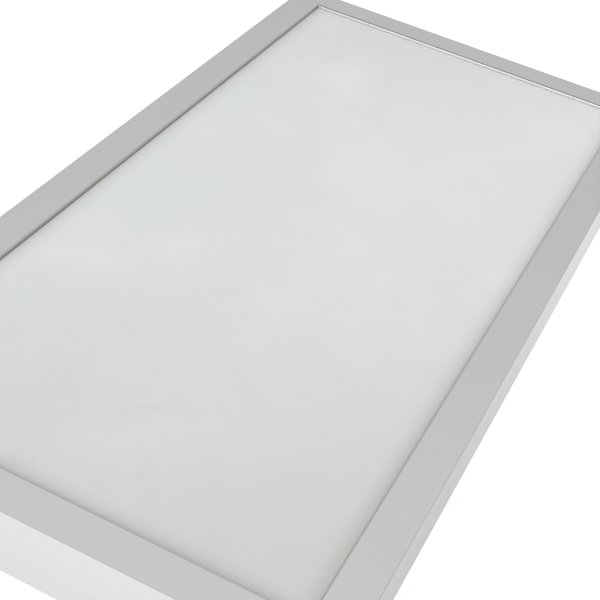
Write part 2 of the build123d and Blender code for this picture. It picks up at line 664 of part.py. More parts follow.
with BuildPart() as switch_plunger:
    with BuildSketch(control_plane(BUTTON_X, PLUNGER_OUTER)):
        Rectangle(PLUNGER_SIDE, PLUNGER_SIDE)
    extrude(amount=-(PLUNGER_INNER - PLUNGER_OUTER))
    chamfer(switch_plunger.edges().group_by(Axis.Y)[-1], length=0.4)
save(switch_plunger, "switch_plunger")

SPRING_SPACE = SWITCH_FACE - BUTTON_INNER
SPRING_RISE = SPRING_SPACE - 2 * SPRING_WIRE_RADIUS - 0.1
with BuildPart() as switch_spring:
    with BuildLine() as coil:
        Helix(
            pitch=SPRING_RISE / 4,
            height=SPRING_RISE,
            radius=SPRING_RADIUS,
            center=(BUTTON_X, BACK_Y - BUTTON_INNER - SPRING_WIRE_RADIUS - 0.05, CONTROL_Z),
            direction=(0, -1, 0),
        )
    with BuildSketch(Plane(origin=coil.line @ 0, z_dir=coil.line % 0)):
        Circle(SPRING_WIRE_RADIUS)
    sweep(path=coil.line, is_frenet=True)
save(switch_spring, "switch_spring")

with BuildPart() as power_button:
    with BuildSketch(control_plane(BUTTON_X, BUTTON_INNER)):
        Circle(BUTTON_RADIUS)
    extrude(amount=BUTTON_INNER + BUTTON_PROTRUSION)
    fillet(power_button.edges().group_by(Axis.Y)[-1], radius=0.7)
    with BuildSketch(control_plane(BUTTON_X, BUTTON_INNER)):
        Circle(BUTTON_RADIUS + BUTTON_FLANGE)
    extrude(amount=BUTTON_FLANGE_THICKNESS)
    with BuildSketch(control_plane(BUTTON_X, BUTTON_INNER)):
        Rectangle(PLUNGER_SIDE + 0.05, PLUNGER_SIDE + 0.05)
    extrude(amount=BUTTON_INNER - PLUNGER_OUTER + 0.05, mode=Mode.SUBTRACT)
    with BuildSketch(control_plane(BUTTON_X, -BUTTON_PROTRUSION)):
        Circle(BUTTON_RADIUS - BUTTON_RIM)
    extrude(amount=-BUTTON_DISH, taper=45, mode=Mode.SUBTRACT)
save(power_button, "power_button")

# ---- Dimmer: potentiometer, D-shaft and fluted knob
POT_FRONT = WALL + 0.1
POT_WIDTH = 10.0
POT_HEIGHT = 11.0
POT_DEPTH = 7.5
SHAFT_INNER = 7.4
SHAFT_PROTRUSION = 5.2
with BuildPart() as dimmer_pot:
    with BuildSketch(control_plane(DIMMER_X, POT_FRONT)):
        with Locations((0, POT_HEIGHT / 2 - CONTROL_RISE)):
            Rectangle(POT_WIDTH, POT_HEIGHT)
    extrude(amount=-POT_DEPTH)
    with BuildSketch(control_plane(DIMMER_X, POT_FRONT)):
        Circle(BUSHING_RADIUS)
    extrude(amount=WALL)
    with Locations(control_plane(DIMMER_X, 0)):
        Hole(radius=SHAFT_BORE_RADIUS, depth=SHAFT_INNER + 0.2)
save(dimmer_pot, "dimmer_pot")


def d_section(radius, flat):
    """A round section with one flat side, in the current sketch."""
    Circle(radius)
    with Locations((0, flat + radius)):
        Rectangle(4 * radius, 2 * radius, mode=Mode.SUBTRACT)


with BuildPart() as dimmer_shaft:
    with BuildSketch(control_plane(DIMMER_X, SHAFT_INNER)):
        Circle(SHAFT_RADIUS)
    extrude(amount=SHAFT_INNER - 0.2)
    with BuildSketch(control_plane(DIMMER_X, 0.2)):
        d_section(SHAFT_RADIUS, SHAFT_FLAT)
    extrude(amount=SHAFT_PROTRUSION + 0.2)
save(dimmer_shaft, "dimmer_shaft")

KNOB_HEIGHT = KNOB_PROTRUSION - KNOB_GAP
with BuildPart() as dimmer_knob:
    with BuildSketch(control_plane(DIMMER_X, -KNOB_GAP)):
        Circle(KNOB_RADIUS)
    extrude(amount=KNOB_HEIGHT)
    fillet(dimmer_knob.edges().group_by(Axis.Y)[-1], radius=0.8)
    with BuildSketch(control_plane(DIMMER_X, -KNOB_GAP)):
        with PolarLocations(KNOB_RADIUS + 0.3 * FLUTE_RADIUS, KNOB_FLUTES):
            Circle(FLUTE_RADIUS)
    extrude(amount=KNOB_HEIGHT - KNOB_CROWN, mode=Mode.SUBTRACT)
    with BuildSketch(control_plane(DIMMER_X, -KNOB_GAP)):
        d_section(SHAFT_RADIUS + 0.02, SHAFT_FLAT + 0.02)
    extrude(amount=SHAFT_PROTRUSION - KNOB_GAP + 0.1, mode=Mode.SUBTRACT)
    with BuildSketch(control_plane(DIMMER_X, -KNOB_PROTRUSION)):
        with Locations((0, POINTER_MIDDLE)):
            SlotOverall(POINTER_LENGTH, POINTER_WIDTH, rotation=90)
    extrude(amount=-POINTER_DEPTH, mode=Mode.SUBTRACT)
save(dimmer_knob, "dimmer_knob")

# ---- Back cover with countersunk holes, its screws, and the feet
with BuildPart() as back_cover:
    with BuildSketch(Plane.XY.offset(COVER_BOTTOM)):
        RectangleRounded(*COVER_SIZE, radius=1.5)
    extrude(amount=COVER_THICKNESS)
    with BuildSketch(Plane.XY.offset(COVER_BOTTOM)):
        with Locations(*(COVER_SCREWS + STANDOFFS + FEET)):
            Circle(HOLE_RADIUS)
    extrude(amount=COVER_THICKNESS, mode=Mode.SUBTRACT)
    with BuildSketch(Plane.XY.offset(COVER_BOTTOM)):
        with Locations(*(COVER_SCREWS + STANDOFFS)):
            Circle(SUNK_HEAD_RADIUS + 0.05)
    extrude(amount=SUNK_HEAD_HEIGHT, taper=45, mode=Mode.SUBTRACT)
save(back_cover, "back_cover")

place_pieces("cover_screws", cover_screw, at_height(COVER_SCREWS, COVER_BOTTOM), flipped=True)

for foot_x, foot_y in FEET:
    side_name = "left" if foot_x < 0 else "right"
    end_name = "near" if foot_y < 0 else "far"
    with BuildPart() as foot:
        with BuildSketch():
            with Locations((foot_x, foot_y)):
                Circle(FOOT_RADIUS)
        extrude(amount=COVER_BOTTOM)
        fillet(foot.edges().group_by(Axis.Z)[0], radius=0.8)
        with BuildSketch():
            with Locations((foot_x, foot_y)):
                Circle(PAN_HEAD_RADIUS + 0.4)
        extrude(amount=FOOT_RECESS_DEPTH, mode=Mode.SUBTRACT)
        with Locations((foot_x, foot_y, COVER_BOTTOM)):
            Hole(radius=HOLE_RADIUS)
    save(foot, f"foot_{end_name}_{side_name}")

FOOT_SCREW_BOTTOM = FOOT_RECESS_DEPTH - FOOT_HEAD_HEIGHT
place_pieces("foot_screws", foot_screw, at_height(FEET, FOOT_SCREW_BOTTOM), flipped=True)

with BuildPart() as foot_nuts:
    with BuildSketch(Plane.XY.offset(COVER_TOP)):
        with Locations(*FEET):
            RegularPolygon(radius=HEX_RADIUS, side_count=6)
            Circle(HOLE_RADIUS, mode=Mode.SUBTRACT)
    extrude(amount=NUT_HEIGHT)
save(foot_nuts, "foot_nuts")
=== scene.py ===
"""The light table's looks: a finish for every CAD node, printed marks, floor, lights and camera."""

import json
import math

import bpy
from mathutils import Matrix, Vector


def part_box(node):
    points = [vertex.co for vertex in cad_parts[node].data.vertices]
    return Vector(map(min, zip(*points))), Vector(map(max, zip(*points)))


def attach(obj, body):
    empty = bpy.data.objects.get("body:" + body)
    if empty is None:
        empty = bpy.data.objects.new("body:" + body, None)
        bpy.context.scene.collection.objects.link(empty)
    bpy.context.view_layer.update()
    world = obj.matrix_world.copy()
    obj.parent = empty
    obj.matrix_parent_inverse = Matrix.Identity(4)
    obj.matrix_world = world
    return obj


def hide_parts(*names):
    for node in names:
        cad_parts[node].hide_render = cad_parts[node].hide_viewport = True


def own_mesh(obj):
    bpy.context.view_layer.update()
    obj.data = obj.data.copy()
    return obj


MM = 0.001

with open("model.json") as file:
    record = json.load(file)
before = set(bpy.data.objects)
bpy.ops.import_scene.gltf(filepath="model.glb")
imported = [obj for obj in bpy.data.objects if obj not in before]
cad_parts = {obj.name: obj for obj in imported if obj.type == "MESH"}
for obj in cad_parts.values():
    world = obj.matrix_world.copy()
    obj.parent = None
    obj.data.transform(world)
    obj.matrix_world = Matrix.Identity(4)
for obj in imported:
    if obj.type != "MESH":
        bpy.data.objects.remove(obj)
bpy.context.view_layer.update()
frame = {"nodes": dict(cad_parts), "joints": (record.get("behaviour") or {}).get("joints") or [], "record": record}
nodes = frame["nodes"]
slot_of = {part["node"]: part["material_slot"] for part in frame["record"]["subparts"]}


def joint_named(name):
    """The frame's entry for a joint."""
    return next(joint for joint in frame["joints"] if joint["name"] == name)


# ---- Node materials
class Finish:
    """A Principled material, with short ways to drive its sockets from the object's own space."""

    def __init__(self, name, **constants):
        self.material = bpy.data.materials.new(name)
        self.material.use_nodes = True
        self.tree = self.material.node_tree
        self.tree.nodes.clear()
        self.shader = self.node("ShaderNodeBsdfPrincipled")
        output = self.node("ShaderNodeOutputMaterial")
        self.tree.links.new(self.shader.outputs["BSDF"], output.inputs["Surface"])
        self.place = self.node("ShaderNodeTexCoord").outputs["Object"]
        self.last_bump = None
        for socket, value in constants.items():
            self.shader.inputs[socket.replace("_", " ")].default_value = value

    def node(self, kind, inputs=None, **settings):
        """A new node, with its settings and the values or links of its inputs."""
        made = self.tree.nodes.new(kind)
        for setting, value in settings.items():
            setattr(made, setting, value)
        for socket, value in (inputs or {}).items():
            if isinstance(value, bpy.types.NodeSocket):
                self.tree.links.new(value, made.inputs[socket])
            else:
                made.inputs[socket].default_value = value
        return made

    def drive(self, socket, source):
        """Link a source to one of the shader's sockets."""
        self.tree.links.new(source, self.shader.inputs[socket])

    def math(self, operation, first, second=0.0, third=0.0, clamp=False):
        """The result of a Math node."""
        sockets = {0: first, 1: second, 2: third}
        return self.node("ShaderNodeMath", sockets, operation=operation, use_clamp=clamp).outputs[0]

    def stretched(self, stretch):
        """The object's space, drawn out along its axes."""
        scale = [1.0 / factor for factor in stretch]
        return self.node("ShaderNodeMapping", {"Vector": self.place, "Scale": scale}).outputs[0]

    def noise(self, size, detail=2.0, roughness=0.5, stretch=(1, 1, 1), distortion=0.0):
        """Cloudy noise from 0 to 1, whose features are about size metres across."""
        sockets = {
            "Vector": self.stretched(stretch),
            "Scale": 1.0 / size,
            "Detail": detail,
            "Roughness": roughness,
            "Distortion": distortion,
        }
        return self.node("ShaderNodeTexNoise", sockets).outputs["Fac"]

    def cells(self, size):
        """Distance to the nearest of many scattered points, about size metres apart."""
        sockets = {"Vector": self.place, "Scale": 1.0 / size}
        return self.node("ShaderNodeTexVoronoi", sockets).outputs["Distance"]

    def ramp(self, source, start, end, low=0.0, high=1.0):
        """A source from start to end, turned into a value from low to high."""
        sockets = {"Value": source, "From Min": start, "From Max": end, "To Min": low, "To Max": high}
        return self.node("ShaderNodeMapRange", sockets).outputs["Result"]

    def blend(self, factor, first, second):
        """A colour between two colours."""
        made = self.node("ShaderNodeMix", data_type="RGBA")
        for socket, value in ((0, factor), (6, first), (7, second)):
            if isinstance(value, bpy.types.NodeSocket):
                self.tree.links.new(value, made.inputs[socket])
            elif socket == 0:
                made.inputs[socket].default_value = value
            else:
                made.inputs[socket].default_value = (*value, 1.0)
        return made.outputs[2]

    def bump(self, height, depth):
        """Relief of the given depth in metres, on top of any relief so far."""
        sockets = {"Height": height, "Distance": depth, "Strength": 1.0}
        if self.last_bump is not None:
            sockets["Normal"] = self.last_bump
        self.last_bump = self.node("ShaderNodeBump", sockets).outputs["Normal"]
        self.drive("Normal", self.last_bump)

    def edges(self, radius):
        """1 on sharp edges and 0 a radius away from them."""
        rounded = self.node("ShaderNodeBevel", {"Radius": radius}, samples=4).outputs["Normal"]
        flat = self.node("ShaderNodeNewGeometry").outputs["Normal"]
        dot = self.node("ShaderNodeVectorMath", {0: rounded, 1: flat}, operation="DOT_PRODUCT")
        return self.ramp(dot.outputs["Value"], 0.99, 0.8)

    def axis(self, name):
        """One coordinate of the object's space, in metres."""
        return self.node("ShaderNodeSeparateXYZ", {"Vector": self.place}).outputs[name]

    def rim_shade(self, name, edge, reach):
        """A soft shade along one axis: 1 at an edge of the opening, and 0 a reach in from it."""
        start = edge - math.copysign(reach, edge)
        return self.math("POWER", self.ramp(self.axis(name), start, edge), 2.6)

    def beyond(self, name, value):
        """1 where a coordinate is larger than a value, 0 elsewhere."""
        return self.math("GREATER_THAN", self.axis(name), value)

    def near_axis(self, centre, along, radius):
        """1 within a radius of a line through centre, along one axis."""
        across = [0.0 if name == along else 1.0 for name in "XYZ"]
        offset = self.node("ShaderNodeVectorMath", {0: self.place, 1: centre}, operation="SUBTRACT")
        sockets = {0: offset.outputs[0], 1: across}
        flat = self.node("ShaderNodeVectorMath", sockets, operation="MULTIPLY").outputs[0]
        length = self.node("ShaderNodeVectorMath", {0: flat}, operation="LENGTH").outputs["Value"]
        return self.math("LESS_THAN", length, radius)


def grey(value):
    """A neutral colour."""
    return (value, value, value)


def brighter(colour, factor, lift=0.0):
    """A colour times a factor, plus a little lift, no brighter than white."""
    return tuple(min(1.0, factor * channel + lift) for channel in colour)


# ---- Finishes, one function for each kind of surface
# Parts of the frame's section, by their distance in from its outer wall
WALL_SKIN = 0.2 * MM  # the outer wall itself
FACE_FLAT = 21.4 * MM  # the flat face ends, and the rounded lip begins
LIP_WALL = 22.2 * MM  # the upright wall of the lip
# The same, by their depth below its face
LIP_EDGE = 0.45 * MM  # the lip's upper edge
LIP_ROUNDING = 1.0 * MM  # the whole of the lip's rounding
# The rounded outer corner is this close to a sharp one, measured out plus up
CORNER_BAND = 0.39 * MM
# Where along a side, from its middle, the outer wall's painted light has its first tone and its second
WALL_LIGHT_RAMP = (-150 * MM, 130 * MM)


def anodised(name, along, outer, painted_wall_light, corner_shade, painted_lip_line=False):
    """Bead-blasted, clear-anodised extrusion, with faint die lines along it.

    The outer wall has painted light: it is paler, and drifts between two tones along its length. The
    rounded outer corner, the lip and the sharp edges have painted shade. When asked, as on the far
    side, the lip has a painted dark upper edge over a painted pale wall.
    """
    finish = Finish(name, Metallic=1.0)
    lines = tuple(90.0 if axis == along else 1.0 for axis in "XYZ")
    clouds = finish.noise(60 * MM, detail=3.0)
    streaks = finish.noise(0.9 * MM, detail=2.0, stretch=lines)
    grain = finish.noise(0.5 * MM, detail=3.0, roughness=0.7)
    sharp_edges = finish.edges(0.5 * MM)
    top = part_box("frame_left")[1].z
    out = finish.math("ABSOLUTE", finish.axis("X" if along == "Y" else "Y"))
    up = finish.axis("Z")
    wall = finish.math("GREATER_THAN", out, outer - WALL_SKIN)
    corner = finish.math("GREATER_THAN", finish.math("ADD", out, up), outer + top - CORNER_BAND)
    lip = finish.math("LESS_THAN", out, outer - FACE_FLAT)
    lip = finish.math("MULTIPLY", lip, finish.math("GREATER_THAN", up, top - LIP_ROUNDING))
    body = finish.blend(finish.ramp(clouds, 0.3, 0.7), (0.568, 0.568, 0.550), (0.598, 0.598, 0.582))
    speckled = finish.blend(finish.ramp(grain, 0.3, 0.75), body, (0.64, 0.64, 0.629))
    # Painted light: the outer wall is paler than the face, and drifts between two tones along its length
    drift = finish.ramp(finish.axis(along), *WALL_LIGHT_RAMP)
    toned = finish.blend(wall, speckled, finish.blend(drift, *painted_wall_light))
    # Painted shade: the rounded outer corner, the lip's rounding and the sharp edges are blended toward a dark
    # grey
    corner_painted_shade = finish.math("MULTIPLY", corner, corner_shade)
    shaded = finish.math("MAXIMUM", corner_painted_shade, finish.math("MULTIPLY", lip, 0.4))
    shaded = finish.math("MAXIMUM", shaded, finish.math("MULTIPLY", sharp_edges, 0.6))
    toned = finish.blend(shaded, toned, (0.42, 0.42, 0.415))
    # Painted shade and light on the lip: a dark upper edge over a pale upright wall
    if painted_lip_line:
        upper = finish.math("GREATER_THAN", up, top - LIP_EDGE)
        toned = finish.blend(finish.math("MULTIPLY", lip, upper), toned, grey(0.2))
        inner = finish.math("LESS_THAN", out, outer - LIP_WALL)
        lower = finish.math("MULTIPLY", inner, finish.math("SUBTRACT", 1.0, upper))
        toned = finish.blend(lower, toned, grey(0.66))
    finish.drive("Base Color", toned)
    rough = finish.ramp(grain, 0.25, 0.75, 0.30, 0.40)
    rough = finish.math("ADD", rough, finish.ramp(streaks, 0.3, 0.7, 0.0, 0.06))
    finish.drive("Roughness", finish.math("ADD", rough, finish.math("MULTIPLY", corner, 0.15)))
    finish.bump(streaks, 0.004 * MM)
    finish.bump(grain, 0.008 * MM)
    return finish.material


def opal_acrylic():
    """Milky cast acrylic with a soft satin face.

    It is a little green on the left and neutral on the right, with pale patches, and faint smudges
    in its near left part. It has painted shade toward the left, right and near edges of the opening,
    and toward its near right and far left corners, and a painted highlight along the far edge.
    """
    finish = Finish(
        "opal_acrylic",
        IOR=1.49,
        Subsurface_Weight=1.0,
        Subsurface_Radius=(1.0, 1.0, 0.95),
        Subsurface_Scale=2.0 * MM,
    )
    x = finish.axis("X")
    y = finish.axis("Y")
    clouds = finish.noise(110 * MM, detail=2.0, distortion=0.5)
    drift = finish.math("ADD", x, finish.ramp(clouds, 0.3, 0.7, -60 * MM, 60 * MM))
    drifted = finish.ramp(drift, -110 * MM, 70 * MM)
    body = finish.blend(drifted, (0.765, 0.793, 0.780), (0.808, 0.808, 0.806))
    patches = finish.ramp(finish.noise(70 * MM, detail=1.5), 0.5, 0.75, 0.0, 0.6)
    body = finish.blend(patches, body, (0.855, 0.857, 0.855))

    stretch = (1.0, 1.5, 1.0)
    smudges = finish.noise(22 * MM, detail=5.0, roughness=0.62, stretch=stretch, distortion=0.4)
    near_part = finish.ramp(y, -120 * MM, -200 * MM)
    handled = finish.math("MULTIPLY", near_part, finish.ramp(x, 60 * MM, -20 * MM, 0.2, 1.0))
    smudged = finish.math("MULTIPLY", finish.ramp(smudges, 0.53, 0.67), handled)
    smeared = finish.blend(finish.math("MULTIPLY", smudged, 0.5), body, (0.715, 0.735, 0.725))

    # Painted shade along the left, right and near edges of the opening
    shaded = 0.0
    for name, edge in (
        ("X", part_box("frame_left")[1].x),
        ("X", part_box("frame_right")[0].x),
        ("Y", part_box("frame_near")[1].y),
    ):
        shaded = finish.math("MAXIMUM", finish.rim_shade(name, edge, 16 * MM), shaded)
    # Painted shade toward the near right and far left corners; all the painted shade blends toward a darker,
    # warmer tone
    across = finish.math("SUBTRACT", y, finish.math("MULTIPLY", x, 0.8))
    near_corner = finish.ramp(across, -40 * MM, -330 * MM, 0.0, 0.54)
    far_corner = finish.ramp(across, 200 * MM, 380 * MM, 0.0, 0.25)
    painted_corner_shade = finish.math("ADD", near_corner, far_corner)
    shaded = finish.math("ADD", finish.math("MULTIPLY", shaded, 0.85), painted_corner_shade)
    toned = finish.blend(shaded, smeared, (0.608, 0.61, 0.590))
    # Painted highlight along the far edge of the opening, next to the far lip
    lit = finish.rim_shade("Y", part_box("frame_far")[0].y, 6 * MM)
    finish.drive("Base Color", finish.blend(lit, toned, (0.94, 0.95, 0.94)))

    satin = finish.noise(0.45 * MM, detail=2.0)
    rough = finish.ramp(satin, 0.2, 0.8, 0.30, 0.38)
    finish.drive("Roughness", finish.math("ADD", rough, finish.math("MULTIPLY", smudged, 0.12)))
    finish.bump(finish.noise(30 * MM, detail=1.0), 0.02 * MM)
    finish.bump(satin, 0.003 * MM)
    return finish.material


def powder_coat():
    """Pale grey powder coat with its orange peel, a little rubbed at the edges."""
    finish = Finish("powder_coat", IOR=1.5)
    peel = finish.noise(1.1 * MM, detail=2.0, roughness=0.4)
    clouds = finish.noise(70 * MM, detail=4.0)
    sharp_edges = finish.edges(0.5 * MM)
    body = finish.blend(finish.ramp(clouds, 0.3, 0.7), (0.70, 0.70, 0.69), (0.76, 0.76, 0.75))
    finish.drive("Base Color", finish.blend(finish.math("MULTIPLY", sharp_edges, 0.35), body, (0.5, 0.5, 0.5)))
    finish.drive("Roughness", finish.ramp(peel, 0.3, 0.7, 0.40, 0.52))
    finish.bump(peel, 0.03 * MM)
    return finish.material


def rubber():
    """Dark moulded rubber, matt, with dust in its texture."""
    finish = Finish("rubber", IOR=1.5)
    grain = finish.noise(0.35 * MM, detail=3.0, roughness=0.65)
    dust = finish.noise(4 * MM, detail=5.0, roughness=0.7)
    body = finish.blend(finish.ramp(grain, 0.3, 0.7), grey(0.022), grey(0.04))
    dusty = finish.ramp(dust, 0.5, 0.8, 0.0, 0.35)
    finish.drive("Base Color", finish.blend(dusty, body, (0.12, 0.115, 0.11)))
    finish.drive("Roughness", finish.ramp(dust, 0.3, 0.7, 0.62, 0.85))
    finish.bump(grain, 0.03 * MM)
    return finish.material


def metal(name, dark, light, roughness, grain_size, grain_depth):
    """Bare or plated metal: a grain of the given size and depth, and brighter edges."""
    finish = Finish(name, Metallic=1.0)
    grain = finish.noise(grain_size, detail=4.0, roughness=0.6)
    clouds = finish.noise(12 * grain_size, detail=3.0)
    sharp_edges = finish.edges(0.2 * MM)
    body = finish.blend(finish.ramp(clouds, 0.3, 0.7), dark, light)
    finish.drive("Base Color", finish.blend(finish.math("MULTIPLY", sharp_edges, 0.5), body, brighter(light, 1.2)))
    finish.drive("Roughness", finish.ramp(grain, 0.3, 0.7, roughness - 0.06, roughness + 0.08))
    finish.bump(grain, grain_depth)
    return finish.material


def foam():
    """Black closed-cell foam."""
    finish = Finish("foam", IOR=1.4)
    cells = finish.cells(0.5 * MM)
    finish.drive("Base Color", finish.blend(finish.ramp(cells, 0.0, 0.7), grey(0.018), grey(0.05)))
    finish.drive("Roughness", finish.ramp(cells, 0.0, 0.7, 0.98, 0.8))
    finish.bump(cells, 0.12 * MM)
    return finish.material


def plastic(name, dark, light, roughness, grain_size=0.3 * MM, grain_depth=0.012 * MM):
    """Moulded plastic with a fine spark-eroded texture and slightly polished edges."""
    finish = Finish(name, IOR=1.5)
    grain = finish.noise(grain_size, detail=3.0, roughness=0.6)
    clouds = finish.noise(9 * MM, detail=3.0)
    sharp_edges = finish.edges(0.25 * MM)
    finish.drive("Base Color", finish.blend(finish.ramp(clouds, 0.3, 0.7), dark, light))
    rough = finish.ramp(grain, 0.3, 0.7, roughness - 0.07, roughness + 0.08)
    polish = finish.math("MULTIPLY", sharp_edges, 0.12)
    finish.drive("Roughness", finish.math("SUBTRACT", rough, polish, clamp=True))
    finish.bump(grain, grain_depth)
    return finish.material


def white_sheet():
    """The tray's matt white coating over thin sheet."""
    finish = Finish("white_sheet", IOR=1.45)
    mottle = finish.noise(2.5 * MM, detail=4.0)
    clouds = finish.noise(80 * MM, detail=2.0)
    body = finish.blend(finish.ramp(clouds, 0.3, 0.7), (0.86, 0.86, 0.85), (0.92, 0.92, 0.91))
    finish.drive("Base Color", body)
    finish.drive("Roughness", finish.ramp(mottle, 0.3, 0.7, 0.55, 0.72))
    finish.bump(mottle, 0.02 * MM)
    return finish.material


# The LEDs stand in a regular grid of five columns, one for each bar, about the middle of the table
HALF_COLUMN_PITCH = 24 * MM
HALF_ROW_PITCH = 23 * MM


def bar_laminate():
    """White solder mask over copper strips, on an aluminium core that shows at the cut edges."""
    finish = Finish("bar_laminate", IOR=1.5)
    bar_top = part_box("led_bar_1")[1].z
    mask_depth = 0.15 * MM
    strip_offset = 3.6 * MM
    strip_half = 1.1 * MM
    mask_layer = finish.beyond("Z", bar_top - mask_depth)
    across = finish.math("WRAP", finish.axis("X"), HALF_COLUMN_PITCH, -HALF_COLUMN_PITCH)
    strip = finish.math("COMPARE", finish.math("ABSOLUTE", across), strip_offset, strip_half)
    grain = finish.noise(0.4 * MM, detail=3.0)
    mask = finish.blend(strip, (0.86, 0.86, 0.85), (0.80, 0.81, 0.78))
    core = finish.blend(finish.ramp(grain, 0.3, 0.7), grey(0.55), grey(0.68))
    finish.drive("Base Color", finish.blend(mask_layer, core, mask))
    finish.drive("Metallic", finish.math("SUBTRACT", 1.0, mask_layer))
    finish.drive("Roughness", finish.ramp(grain, 0.3, 0.7, 0.32, 0.45))
    finish.bump(strip, 0.03 * MM)
    return finish.material


def led_package():
    """White package with a yellow phosphor well; the wells lie on the LEDs' grid."""
    finish = Finish("led_package", IOR=1.5)
    well_radius = 1.22 * MM
    x = finish.math("WRAP", finish.axis("X"), HALF_COLUMN_PITCH, -HALF_COLUMN_PITCH)
    y = finish.math("WRAP", finish.axis("Y"), HALF_ROW_PITCH, -HALF_ROW_PITCH)
    squares = finish.math("ADD", finish.math("POWER", x, 2.0), finish.math("POWER", y, 2.0))
    from_middle = finish.math("SQRT", squares)
    well = finish.math("LESS_THAN", from_middle, well_radius)
    grain = finish.noise(0.2 * MM, detail=3.0)
    phosphor = finish.blend(finish.ramp(grain, 0.3, 0.7), (0.78, 0.52, 0.08), (0.88, 0.66, 0.15))
    finish.drive("Base Color", finish.blend(well, (0.86, 0.86, 0.84), phosphor))
    rough = finish.ramp(grain, 0.3, 0.7, 0.35, 0.5)
    finish.drive("Roughness", finish.math("ADD", rough, finish.math("MULTIPLY", well, -0.2)))
    finish.bump(grain, 0.01 * MM)
    return finish.material


def clear_acrylic():
    """Clear moulded acrylic with faint flow haze."""
    finish = Finish("clear_acrylic", IOR=1.49, Transmission_Weight=1.0)
    haze = finish.noise(2.5 * MM, detail=3.0)
    body = finish.blend(finish.ramp(haze, 0.3, 0.7), (0.96, 0.98, 0.99), (0.99, 1.0, 1.0))
    finish.drive("Base Color", body)
    finish.drive("Roughness", finish.ramp(haze, 0.3, 0.8, 0.02, 0.09))
    finish.bump(haze, 0.004 * MM)
    return finish.material


def circuit_board():
    """Green solder mask over copper runs, with the fibreglass core showing at the edges."""
    finish = Finish("circuit_board", IOR=1.5)
    low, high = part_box("control_board")
    mask_depth = 0.1 * MM
    top = finish.beyond("Z", high.z - mask_depth)
    bottom = finish.math("LESS_THAN", finish.axis("Z"), low.z + mask_depth)
    sockets = {
        "Vector": finish.place,
        "Scale": 90.0,
        "Mortar Size": 0.03,
        "Brick Width": 0.9,
        "Row Height": 0.35,
    }
    runs = finish.node("ShaderNodeTexBrick", sockets).outputs["Fac"]
    weave = finish.noise(0.3 * MM, detail=2.0)
    mask = finish.blend(runs, (0.012, 0.10, 0.045), (0.03, 0.19, 0.08))
    core = finish.blend(finish.ramp(weave, 0.3, 0.7), (0.42, 0.36, 0.18), (0.52, 0.46, 0.25))
    finish.drive("Base Color", finish.blend(finish.math("MAXIMUM", top, bottom), core, mask))
    finish.drive("Roughness", finish.ramp(weave, 0.3, 0.7, 0.25, 0.4))
    finish.bump(runs, 0.035 * MM)
    finish.bump(weave, 0.01 * MM)
    return finish.material


def two_part(name, region, inner, outer, inner_metal=False, roughness=(0.3, 0.5)):
    """Two finishes in one piece, one of them metal, split by a mask.

    region(finish) is 1 where the inner colour goes. The inner part is the metal one if inner_metal
    is set, and else the outer part is.
    """
    finish = Finish(name, IOR=1.5)
    mask = region(finish)
    grain = finish.noise(0.35 * MM, detail=3.0, roughness=0.6)
    shade = finish.ramp(grain, 0.3, 0.7)
    inside = finish.blend(shade, inner, brighter(inner, 1.25))
    outside = finish.blend(shade, outer, brighter(outer, 1.25))
    finish.drive("Base Color", finish.blend(mask, outside, inside))
    finish.drive("Metallic", mask if inner_metal else finish.math("SUBTRACT", 1.0, mask))
    finish.drive("Roughness", finish.ramp(grain, 0.3, 0.7, *roughness))
    finish.bump(grain, 0.008 * MM)
    return finish


TIN = (0.62, 0.62, 0.60)
NICKEL = (0.66, 0.64, 0.60)
EPOXY = (0.022, 0.022, 0.024)


def chip_finish(node, leg_height):
    """Black epoxy body with tinned legs, told apart by height and by how far out they are."""
    low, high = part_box(node)
    middle = (low.y + high.y) / 2
    body_half = 0.3 * (high.y - low.y)

    def legs(finish):
        below = finish.math("LESS_THAN", finish.axis("Z"), low.z + leg_height)
        from_middle = finish.math("ABSOLUTE", finish.math("SUBTRACT", finish.axis("Y"), middle))
        outside = finish.math("GREATER_THAN", from_middle, body_half)
        return finish.math("MULTIPLY", below, outside)

    return two_part(f"{node}_epoxy", legs, TIN, EPOXY, inner_metal=True, roughness=(0.35, 0.55)).material


def potentiometer():
    """Dark moulded body with a plated bushing."""
    bushing_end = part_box("dimmer_pot")[1].y
    bushing_length = 1.85 * MM
    bushing_radius = 3.6 * MM
    centre = Vector(joint_named("dimmer_turn")["pos_m"])

    def bushing(finish):
        outside = finish.beyond("Y", bushing_end - bushing_length)
        return finish.math("MULTIPLY", outside, finish.near_axis(centre, "Y", bushing_radius))

    return two_part("potentiometer", bushing, NICKEL, (0.03, 0.035, 0.05), inner_metal=True).material


def capacitor():
    """Dark shrink sleeve with a pale polarity stripe, open over the aluminium top."""
    low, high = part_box("bulk_capacitor")
    centre = (low + high) / 2
    open_radius = 3.3 * MM
    open_depth = 0.3 * MM
    stripe_offset = 3.4 * MM
    stripe_depth = 0.6 * MM

    def top(finish):
        high_up = finish.beyond("Z", high.z - open_depth)
        return finish.math("MULTIPLY", high_up, finish.near_axis(centre, "Z", open_radius))

    sleeve = (0.015, 0.02, 0.05)
    roughness = (0.22, 0.34)
    finish = two_part("capacitor_sleeve", top, grey(0.7), sleeve, inner_metal=True, roughness=roughness)
    body = finish.shader.inputs["Base Color"].links[0].from_socket
    on_side = finish.math("LESS_THAN", finish.axis("X"), centre.x - stripe_offset)
    below_top = finish.math("LESS_THAN", finish.axis("Z"), high.z - stripe_depth)
    stripe = finish.math("MULTIPLY", on_side, below_top)
    finish.drive("Base Color", finish.blend(stripe, body, (0.6, 0.62, 0.66)))
    return finish.material


def fuse():
    """Glass tube between two nickel caps."""
    low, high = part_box("fuse")
    middle = (low.x + high.x) / 2
    cap_length = 3.0 * MM
    glass_half = (high.x - low.x) / 2 - cap_length

    def glass(finish):
        from_middle = finish.math("ABSOLUTE", finish.math("SUBTRACT", finish.axis("X"), middle))
        return finish.math("LESS_THAN", from_middle, glass_half)

    finish = two_part("fuse", glass, (0.78, 0.82, 0.82), NICKEL, roughness=(0.08, 0.2))
    finish.drive("Transmission Weight", glass(finish))
    return finish.material


